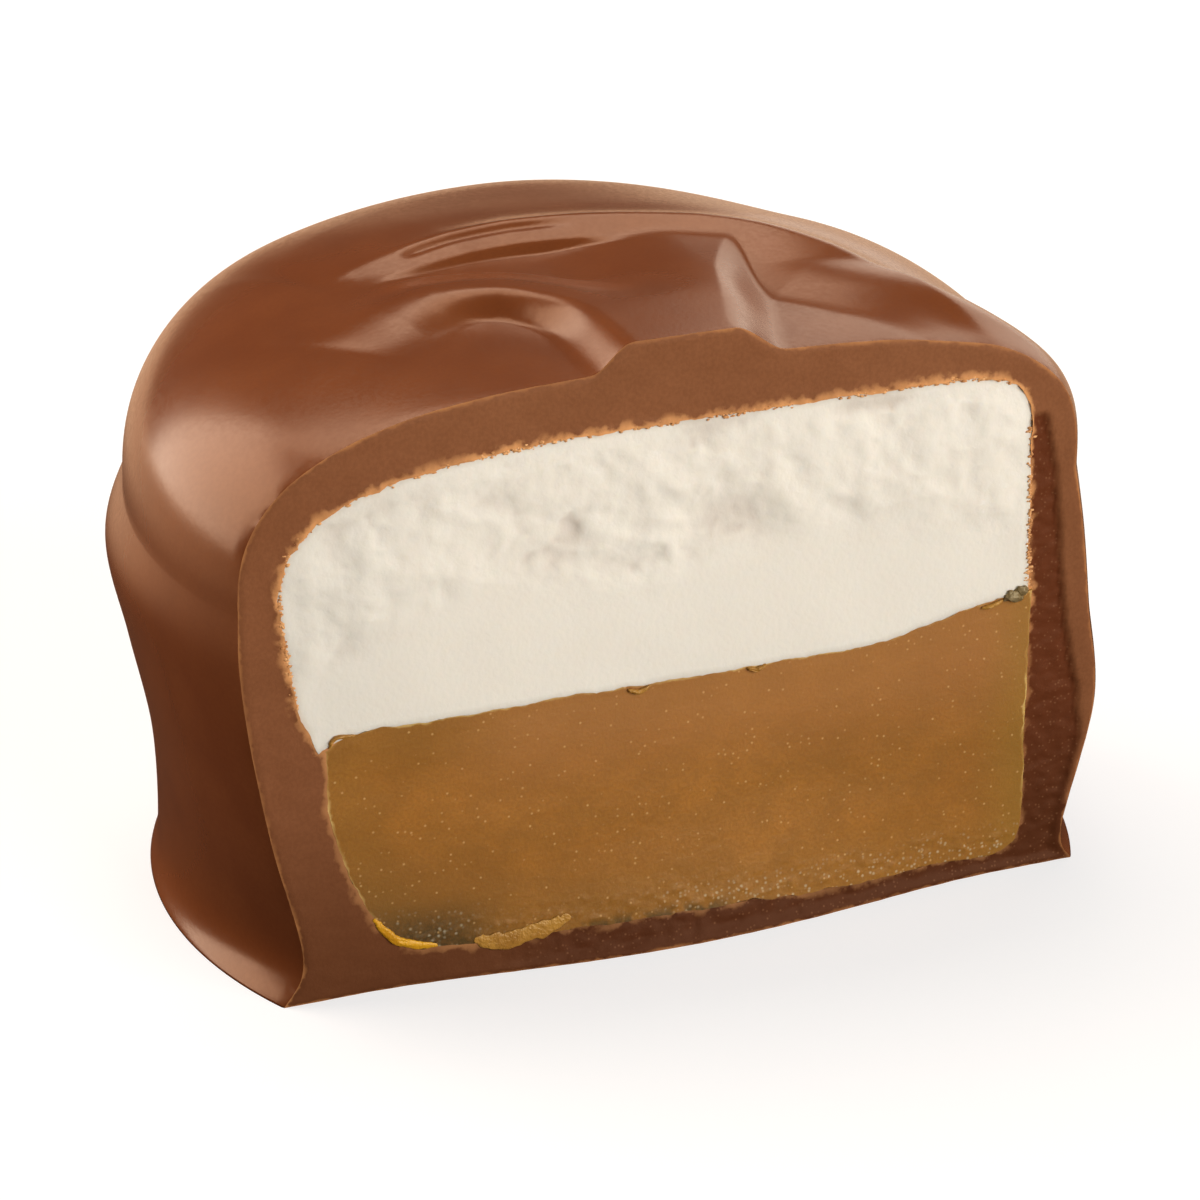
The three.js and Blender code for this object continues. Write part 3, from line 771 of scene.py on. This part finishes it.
def seam_crumb():
    """The greyish crumb of dried caramel at the right end of the seam."""
    shape = bmesh.new()
    for (x, z), radius in SEAM_CRUMB:
        lump(shape, face_at(x, z, 0.05), radius, (1.3, 0.6, 0.8), x, CRUMB_STEPS)
    for face in shape.faces:
        face.smooth = True
    return new_piece("dried_caramel_crumb", mesh_from("dried_caramel_crumb", shape))


# ---------------------------------------------------------------- the sweet

coat = round_body("milk_chocolate_coat", COAT_MERIDIANS,
                  BASE_RINGS + WALL_RINGS + SHOULDER_RINGS + CROWN_RINGS, coat_profile)
filling_rings = 2 * FLAT_RINGS + SIDE_RINGS + ROUNDING_RINGS
marshmallow = round_body("marshmallow_layer", FILLING_MERIDIANS, filling_rings,
                         marshmallow_profile, MARSHMALLOW_CENTRE, crowd=0.55)
caramel = round_body("caramel_layer", FILLING_MERIDIANS, filling_rings,
                     caramel_profile, CARAMEL_CENTRE, crowd=0.55)
block = cutting_block()

for piece, kind in ((coat, SKIN), (marshmallow, HOLLOW), (caramel, HOLLOW), (block, CUT)):
    mark_faces(piece, kind)
for filling in (marshmallow, caramel):
    carve(coat, filling)
for piece in (coat, marshmallow, caramel):
    carve(piece, block)
discard(block)

own_points = read_points(coat.data)
own_low, own_high = own_points.min(axis=0), own_points.max(axis=0)
coat_low, coat_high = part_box("chocolate_coat")
AXIS = Vector((
    (coat_low.x + coat_high.x) / 2 / MM - (own_low[0] + own_high[0]) / 2,
    coat_low.y / MM + CUT_OFFSET + CUT_SWELL,
    coat_low.z / MM,
))


def place(piece):
    """Moves a piece from the dome's axis, in millimetres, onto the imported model, in metres."""
    piece.data.transform(Matrix.Scale(MM, 4) @ Matrix.Translation(AXIS))
    piece.data.update()


crumbs = fringe_crumbs()
syrup = smear("caramel_syrup", SYRUP)
dabs = smear("caramel_smears", SMEARS)
crust = seam_crumb()
finish_chocolate_cut()
finish_foam_cut()
finish_caramel_cut()
for piece in (coat, marshmallow, caramel):
    sharpen_borders(piece.data)
for piece in (coat, marshmallow, caramel, crumbs, syrup, dabs, crust):
    place(piece)


# ---------------------------------------------------------------- materials: small node helpers

def feed(tree, socket, value):
    """Links a socket or sets its own value."""
    if isinstance(value, bpy.types.NodeSocket):
        tree.links.new(value, socket)
    else:
        socket.default_value = value


def noise_of(tree, coordinates, size, detail=3.0, warp=0.0):
    """Noise whose widest patches measure size, in millimetres."""
    node = tree.nodes.new("ShaderNodeTexNoise")
    tree.links.new(coordinates, node.inputs["Vector"])
    feed(tree, node.inputs["Scale"], size if isinstance(size, bpy.types.NodeSocket) else 1 / (size * MM))
    node.inputs["Detail"].default_value = detail
    node.inputs["Distortion"].default_value = warp
    return node.outputs["Fac"]


def ramp(tree, value, low, high, start=0.0, end=1.0):
    """A smooth step of a value between two marks."""
    node = tree.nodes.new("ShaderNodeMapRange")
    node.interpolation_type = "SMOOTHSTEP"
    feed(tree, node.inputs["Value"], value)
    feed(tree, node.inputs["From Min"], low)
    feed(tree, node.inputs["From Max"], high)
    feed(tree, node.inputs["To Min"], start)
    feed(tree, node.inputs["To Max"], end)
    return node.outputs["Result"]


def maths(tree, operation, first, second):
    node = tree.nodes.new("ShaderNodeMath")
    node.operation = operation
    feed(tree, node.inputs[0], first)
    feed(tree, node.inputs[1], second)
    return node.outputs["Value"]


def times(tree, first, second):
    return maths(tree, "MULTIPLY", first, second)


def mixed(tree, share, first, second):
    """One colour turning into another by a share."""
    node = tree.nodes.new("ShaderNodeMix")
    node.data_type = "RGBA"
    feed(tree, node.inputs["Factor"], share)
    feed(tree, node.inputs[6], first)
    feed(tree, node.inputs[7], second)
    return node.outputs[2]


def colour(red, green, blue):
    return (red, green, blue, 1.0)


def measured(tree, name):
    """A value that the piece carries on its own points."""
    node = tree.nodes.new("ShaderNodeAttribute")
    node.attribute_name = name
    return node.outputs["Fac"]


def place_on_part(tree):
    """How far right and how high a place is in the part's own space, in metres."""
    coordinates = tree.nodes.new("ShaderNodeTexCoord")
    split = tree.nodes.new("ShaderNodeSeparateXYZ")
    tree.links.new(coordinates.outputs["Object"], split.inputs["Vector"])
    return split.outputs["X"], split.outputs["Z"]


def new_group(name, inputs, outputs):
    group = bpy.data.node_groups.new(name, "ShaderNodeTree")
    for label, value in inputs.items():
        socket = group.interface.new_socket(label, in_out="INPUT", socket_type="NodeSocketFloat")
        socket.default_value = value
    for label in outputs:
        group.interface.new_socket(label, in_out="OUTPUT", socket_type="NodeSocketFloat")
    return group, group.nodes.new("NodeGroupInput"), group.nodes.new("NodeGroupOutput")


def use_group(tree, group, **values):
    node = tree.nodes.new("ShaderNodeGroup")
    node.node_tree = group
    for label, value in values.items():
        feed(tree, node.inputs[label.replace("_", " ").capitalize()], value)
    return node.outputs


def make_mottle():
    """Broad cloudy patches and a fine grain, both from 0 to 1."""
    group, given, made = new_group("food_mottle", {"Patches": 2.0, "Grains": 0.2}, ("Patch", "Grain"))
    coordinates = group.nodes.new("ShaderNodeTexCoord").outputs["Object"]
    patch_scale = maths(group, "DIVIDE", 1 / MM, given.outputs["Patches"])
    grain_scale = maths(group, "DIVIDE", 1 / MM, given.outputs["Grains"])
    patch = noise_of(group, coordinates, patch_scale, 3.0)
    grain = noise_of(group, coordinates, grain_scale, 2.0)
    group.links.new(ramp(group, patch, 0.3, 0.7), made.inputs["Patch"])
    group.links.new(ramp(group, grain, 0.25, 0.75), made.inputs["Grain"])
    return group


def make_specks():
    """Scattered bright specks: 1 in a speck and 0 beside it."""
    group, given, made = new_group("food_specks", {"Spacing": 0.4, "Reach": 0.2, "Share": 0.5}, ("Speck",))
    coordinates = group.nodes.new("ShaderNodeTexCoord").outputs["Object"]
    cells = group.nodes.new("ShaderNodeTexVoronoi")
    group.links.new(coordinates, cells.inputs["Vector"])
    group.links.new(maths(group, "DIVIDE", 1 / MM, given.outputs["Spacing"]), cells.inputs["Scale"])
    near = ramp(group, cells.outputs["Distance"], 0.0, given.outputs["Reach"], 1.0, 0.0)
    split = group.nodes.new("ShaderNodeSeparateColor")
    group.links.new(cells.outputs["Color"], split.inputs["Color"])
    kept = maths(group, "LESS_THAN", split.outputs["Red"], given.outputs["Share"])
    group.links.new(times(group, near, kept), made.inputs["Speck"])
    return group


def make_rim_line():
    """A broken line along a border: how much of it shows at a distance from the border, in mm."""
    group, given, made = new_group("food_rim_line", {"Distance": 1.0, "Width": 0.2, "Breaks": 0.8}, ("Line",))
    coordinates = group.nodes.new("ShaderNodeTexCoord").outputs["Object"]
    wobble = noise_of(group, coordinates, 0.45, 4.0)
    reach = times(group, given.outputs["Width"], ramp(group, wobble, 0.3, 0.7, 0.35, 1.5))
    line = ramp(group, given.outputs["Distance"], 0.0, reach, 1.0, 0.0)
    gaps = ramp(group, noise_of(group, coordinates, 1.4, 2.0), 0.35, 0.62)
    kept = maths(group, "SUBTRACT", 1.0, times(group, given.outputs["Breaks"], gaps))
    group.links.new(times(group, line, kept), made.inputs["Line"])
    return group


mottle = make_mottle()
specks = make_specks()
rim_line = make_rim_line()


def new_material(name, roughness, specular=0.5, tint=(1.0, 1.0, 1.0)):
    material = bpy.data.materials.new(name)
    material.use_nodes = True
    shader = material.node_tree.nodes["Principled BSDF"]
    shader.inputs["Roughness"].default_value = roughness
    shader.inputs["Specular IOR Level"].default_value = specular
    shader.inputs["Specular Tint"].default_value = colour(*tint)
    return material, material.node_tree, shader


def relief(tree, shader, height, depth):
    """Fine relief, depth in millimetres."""
    bump = tree.nodes.new("ShaderNodeBump")
    bump.inputs["Strength"].default_value = 1.0
    bump.inputs["Distance"].default_value = depth * MM
    tree.links.new(height, bump.inputs["Height"])
    tree.links.new(bump.outputs["Normal"], shader.inputs["Normal"])


# ---------------------------------------------------------------- materials

WARM_GLOSS = (1.0, 0.66, 0.45)


def chocolate_skin():
    material, tree, shader = new_material("milk_chocolate_skin", 0.23, 0.5, WARM_GLOSS)
    look = use_group(tree, mottle, patches=3.5, grains=0.16)
    body = mixed(tree, look["Patch"], colour(0.166, 0.044, 0.0125), colour(0.194, 0.0545, 0.016))
    body = mixed(tree, times(tree, look["Grain"], 0.22), body, colour(0.12, 0.031, 0.009))
    tree.links.new(body, shader.inputs["Base Color"])
    tree.links.new(ramp(tree, look["Grain"], 0.0, 1.0, 0.21, 0.27), shader.inputs["Roughness"])
    relief(tree, shader, look["Grain"], 0.001)
    return material


def chocolate_cut():
    material, tree, shader = new_material("milk_chocolate_cut", 0.6, 0.22, WARM_GLOSS)
    look = use_group(tree, mottle, patches=2.2, grains=0.14)
    right, up = place_on_part(tree)
    # Painted shade: the cut face is painted darker lower down and towards the left.
    low = ramp(tree, up, CUT_PAINTED_SHADE[0] * MM, CUT_PAINTED_SHADE[1] * MM, 1.0, 0.0)
    left = ramp(tree, right, -13 * MM, -5 * MM, 0.8, 0.0)
    outer = ramp(tree, right, 12 * MM, 15 * MM, 1.0, 0.0)
    body = mixed(tree, left, colour(0.236, 0.088, 0.035), colour(0.18, 0.06, 0.0235))
    body = mixed(tree, times(tree, outer, 0.5), body, colour(0.3, 0.115, 0.048))
    body = mixed(tree, times(tree, low, outer), body, colour(0.13, 0.042, 0.0155))
    body = mixed(tree, times(tree, look["Patch"], 0.3), body, colour(0.18, 0.062, 0.023))
    body = mixed(tree, times(tree, look["Grain"], 0.2), body, colour(0.1, 0.03, 0.011))
    broken = measured(tree, "broken")
    # The snapped chocolate is painted darker than the sliced face, as painted shade on its turned-away break,
    # and darker still lower down.
    snapped = mixed(tree, low, colour(0.118, 0.029, 0.009), colour(0.085, 0.0225, 0.007))
    body = mixed(tree, broken, body, snapped)
    flecks = use_group(tree, specks, spacing=0.13, reach=0.45, share=0.35)["Speck"]
    body = mixed(tree, times(tree, flecks, times(tree, broken, 0.5)),
                 body, colour(0.3, 0.13, 0.06))
    fringe = use_group(tree, rim_line, distance=measured(tree, "rim"), width=0.3, breaks=0.3)["Line"]
    fringe = times(tree, fringe, ramp(tree, up, 7 * MM, 10.5 * MM, 0.4, 0.9))
    body = mixed(tree, fringe, body, colour(0.78, 0.37, 0.14))
    # Painted highlight: a paler line along the outer edge of the cut, for the lit rounded edge, with the
    # paler colour of its burr.
    corner = use_group(tree, rim_line, distance=measured(tree, "edge"), width=0.12, breaks=0.5)["Line"]
    body = mixed(tree, times(tree, corner, 0.75), body, colour(0.52, 0.22, 0.075))
    tree.links.new(body, shader.inputs["Base Color"])
    relief(tree, shader, look["Grain"], 0.004)
    return material


def torn_chocolate():
    material, tree, shader = new_material("torn_chocolate", 0.5, 0.3, WARM_GLOSS)
    look = use_group(tree, mottle, patches=0.5, grains=0.08)
    body = mixed(tree, look["Patch"], colour(0.6, 0.27, 0.1), colour(0.9, 0.5, 0.22))
    body = mixed(tree, times(tree, look["Grain"], 0.2), body, colour(0.35, 0.13, 0.04))
    tree.links.new(body, shader.inputs["Base Color"])
    relief(tree, shader, look["Grain"], 0.01)
    return material


def foam():
    material, tree, shader = new_material("marshmallow_foam", 0.85, 0.15)
    look = use_group(tree, mottle, patches=1.6, grains=0.22)
    right, _ = place_on_part(tree)
    # Painted shade: the foam's hollows (low depth) are painted darker and tanner than its raised lumps and
    # tufts.
    body = mixed(tree, ramp(tree, measured(tree, "depth"), -0.9, 0.0), colour(0.72, 0.65, 0.57),
                 colour(0.88, 0.835, 0.745))
    body = mixed(tree, times(tree, look["Patch"], 0.3), body, colour(0.85, 0.79, 0.69))
    shade = ramp(tree, right, -15 * MM, -6 * MM, 0.35, 0.0)
    body = mixed(tree, shade, body, colour(0.66, 0.645, 0.585))
    edge = ramp(tree, measured(tree, "rim"), 0.0, 0.25, 0.4, 0.0)
    body = mixed(tree, edge, body, colour(0.62, 0.55, 0.44))
    tree.links.new(body, shader.inputs["Base Color"])
    shader.inputs["Subsurface Weight"].default_value = 0.25
    shader.inputs["Subsurface Radius"].default_value = (1.0, 0.8, 0.6)
    shader.inputs["Subsurface Scale"].default_value = 0.6 * MM
    relief(tree, shader, look["Grain"], 0.006)
    return material


def amber():
    material, tree, shader = new_material("amber_caramel", 0.5, 0.3, (1.0, 0.85, 0.6))
    look = use_group(tree, mottle, patches=5.0, grains=0.12)
    rim = measured(tree, "rim")
    foot = measured(tree, "foot")
    body = mixed(tree, look["Patch"], colour(0.335, 0.135, 0.024), colour(0.43, 0.175, 0.03))
    body = mixed(tree, ramp(tree, rim, 0.2, 2.6, 0.4, 0.0), body, colour(0.285, 0.14, 0.026))
    right, up = place_on_part(tree)
    corner = times(tree, ramp(tree, right, -12 * MM, -5 * MM, 1.0, 0.0),
                   ramp(tree, up, 1.5 * MM, 6 * MM, 0.75, 0.0))
    body = mixed(tree, corner, body, colour(0.15, 0.083, 0.027))
    clouds = use_group(tree, mottle, patches=1.3, grains=0.35)
    body = mixed(tree, times(tree, clouds["Patch"], 0.4), body, colour(0.25, 0.108, 0.021))
    # Painted shade: a near-black nook low on the left, standing for shade in a recess; the pale fibres in it
    # are its own.
    shaded_nook = times(tree, ramp(tree, right, -9 * MM, -6.3 * MM, 1.0, 0.0),
                 ramp(tree, up, 1.6 * MM, 3.4 * MM, 0.9, 0.0))
    body = mixed(tree, shaded_nook, body, colour(0.062, 0.043, 0.019))
    # Painted shade: broken near-black gaps along the foot, standing for shade where the caramel meets the
    # chocolate base.
    gaps = times(tree, ramp(tree, up, 1.15 * MM, 1.7 * MM, 0.9, 0.0),
                 ramp(tree, clouds["Patch"], 0.35, 0.6))
    gaps = times(tree, gaps, ramp(tree, right, 0.5 * MM, 2 * MM, 1.0, 0.0))
    body = mixed(tree, gaps, body, colour(0.055, 0.04, 0.016))
    body = mixed(tree, times(tree, look["Grain"], 0.4), body, colour(0.23, 0.092, 0.015))
    pink = times(tree, ramp(tree, up, 5 * MM, 9 * MM), ramp(tree, right, -10 * MM, -5 * MM))
    body = mixed(tree, times(tree, pink, 0.45), body, colour(0.46, 0.2, 0.07))
    body = mixed(tree, ramp(tree, right, 10.5 * MM, 14 * MM, 0.0, 0.75), body, colour(0.31, 0.165, 0.026))
    pale = use_group(tree, specks, spacing=0.26, reach=0.26, share=0.45)["Speck"]
    body = mixed(tree, times(tree, pale, 0.55), body, colour(0.82, 0.5, 0.2))
    fibres = times(tree, use_group(tree, specks, spacing=0.2, reach=0.42, share=0.5)["Speck"], shaded_nook)
    body = mixed(tree, times(tree, fibres, 0.7), body, colour(0.6, 0.53, 0.36))
    sugar = use_group(tree, specks, spacing=0.15, reach=0.55, share=0.4)["Speck"]
    drifts = ramp(tree, look["Patch"], 0.25, 0.8, 0.1, 0.75)
    body = mixed(tree, times(tree, times(tree, sugar, foot), drifts), body,
                 colour(0.62, 0.5, 0.31))
    line = use_group(tree, rim_line, distance=rim, width=0.1, breaks=0.8)["Line"]
    high = ramp(tree, up, 2 * MM, 4 * MM, 0.0, 0.75)
    body = mixed(tree, times(tree, line, high), body, colour(0.8, 0.55, 0.2))
    tree.links.new(body, shader.inputs["Base Color"])
    tree.links.new(ramp(tree, look["Grain"], 0.0, 1.0, 0.42, 0.58), shader.inputs["Roughness"])
    shader.inputs["Subsurface Weight"].default_value = 0.15
    shader.inputs["Subsurface Radius"].default_value = (1.0, 0.5, 0.15)
    shader.inputs["Subsurface Scale"].default_value = 0.5 * MM
    relief(tree, shader, look["Grain"], 0.005)
    return material


def bright_caramel(name, pale, deep):
    material, tree, shader = new_material(name, 0.32, 0.45, (1.0, 0.88, 0.6))
    look = use_group(tree, mottle, patches=0.9, grains=0.12)
    body = mixed(tree, look["Patch"], deep, pale)
    body = mixed(tree, times(tree, look["Grain"], 0.25), body, deep)
    tree.links.new(body, shader.inputs["Base Color"])
    relief(tree, shader, look["Grain"], 0.015)
    return material


skin = chocolate_skin()
cut_face = chocolate_cut()
torn = torn_chocolate()
marshmallow_look = foam()
caramel_look = amber()
looks = (
    (coat, (skin, cut_face, torn)),
    (marshmallow, (marshmallow_look,) * 3),
    (caramel, (caramel_look,) * 3),
    (crumbs, (torn,)),
    (syrup, (bright_caramel("syrup", colour(0.78, 0.4, 0.02), colour(0.6, 0.27, 0.012)),)),
    (dabs, (bright_caramel("drawn_caramel", colour(0.5, 0.25, 0.045), colour(0.34, 0.15, 0.025)),)),
    (crust, (bright_caramel("dried_caramel", colour(0.5, 0.4, 0.24), colour(0.2, 0.14, 0.06)),)),
)
for piece, materials in looks:
    while len(piece.data.materials) < len(materials):
        piece.data.materials.append(None)
    for index, material in enumerate(materials):
        piece.data.materials[index] = material

for piece, slot in ((coat, "milk_chocolate"), (marshmallow, "marshmallow_foam"), (caramel, "caramel"),
                    (crumbs, "milk_chocolate"), (syrup, "caramel"), (dabs, "caramel"), (crust, "caramel")):
    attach(piece, "root")
for piece, node in ((coat, "chocolate_coat"), (marshmallow, "marshmallow"), (caramel, "caramel")):
    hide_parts(node)

# ---------------------------------------------------------------- floor, camera and light

floor_shape = bmesh.new()
bmesh.ops.create_grid(floor_shape, x_segments=1, y_segments=1, size=1.5)
floor = new_piece("floor", mesh_from("floor", floor_shape))


def pale_floor():
    """Pale to the eye; close by, what it throws back onto the sweet is held down, as by a dark card."""
    material, tree, shader = new_material("pale_floor", 0.8, 0.0)
    away = tree.nodes.new("ShaderNodeVectorMath")
    away.operation = "LENGTH"
    tree.links.new(tree.nodes.new("ShaderNodeTexCoord").outputs["Object"], away.inputs[0])
    beyond = ramp(tree, away.outputs["Value"], 30 * MM, 65 * MM)
    rays = tree.nodes.new("ShaderNodeLightPath").outputs
    far = mixed(tree, rays["Is Glossy Ray"], colour(0.4, 0.4, 0.4), colour(0.75, 0.58, 0.43))
    card = mixed(tree, beyond, colour(0.04, 0.04, 0.04), far)
    seen = rays["Is Camera Ray"]
    tree.links.new(mixed(tree, seen, card, colour(0.42, 0.43, 0.45)), shader.inputs["Base Color"])
    glow = mixed(tree, seen, colour(0.0, 0.0, 0.0), colour(0.66, 0.66, 0.66))
    tree.links.new(glow, shader.inputs["Emission Color"])
    shader.inputs["Emission Strength"].default_value = 1.0
    return material


floor.data.materials.append(pale_floor())

camera_data = bpy.data.cameras.new("camera")
camera_data.sensor_width = 36
camera_data.lens = 120
camera_data.clip_start = 0.005
camera = bpy.data.objects.new("camera", camera_data)
bpy.context.scene.collection.objects.link(camera)
turn, rise = math.radians(CAMERA_AZIMUTH), math.radians(CAMERA_ELEVATION)
toward = Vector((math.sin(turn) * math.cos(rise), math.cos(turn) * math.cos(rise), -math.sin(rise)))
camera.location = (AXIS + CAMERA_AIM - toward * CAMERA_DISTANCE) * MM
camera.rotation_euler = toward.to_track_quat("-Z", "Y").to_euler()
bpy.context.scene.camera = camera

world = bpy.data.worlds.new("studio")
world.use_nodes = True
world.node_tree.nodes["Background"].inputs["Color"].default_value = (1.0, 0.86, 0.72, 1.0)
world.node_tree.nodes["Background"].inputs["Strength"].default_value = 0.07
bpy.context.scene.world = world


def soft_light(name, bearing, elevation, distance, size, power, tone):
    """A soft rectangular light that looks at the sweet from a bearing and an elevation, in degrees."""
    data = bpy.data.lights.new(name, "AREA")
    data.shape = "RECTANGLE"
    data.size, data.size_y = size
    data.energy = power
    data.color = tone
    light = bpy.data.objects.new(name, data)
    bpy.context.scene.collection.objects.link(light)
    around, up = math.radians(bearing), math.radians(elevation)
    out = Vector((math.cos(around) * math.cos(up), math.sin(around) * math.cos(up), math.sin(up)))
    light.location = out * distance
    light.rotation_euler = (-out).to_track_quat("-Z", "Y").to_euler()
    return light


soft_light("front_key", 300, 18, 0.6, (0.5, 0.4), 3.95, (1.0, 0.96, 0.91))
soft_light("left_back", 140, 23, 0.5, (0.45, 0.44), 3.3, (1.0, 0.84, 0.68))
soft_light("right_back", 46, 14, 0.5, (0.34, 0.36), 0.65, (1.0, 0.84, 0.68))
soft_light("overhead", 92, 64, 0.5, (0.34, 0.3), 1.25, (1.0, 0.84, 0.68))

bpy.context.scene.view_settings.view_transform = "Standard"
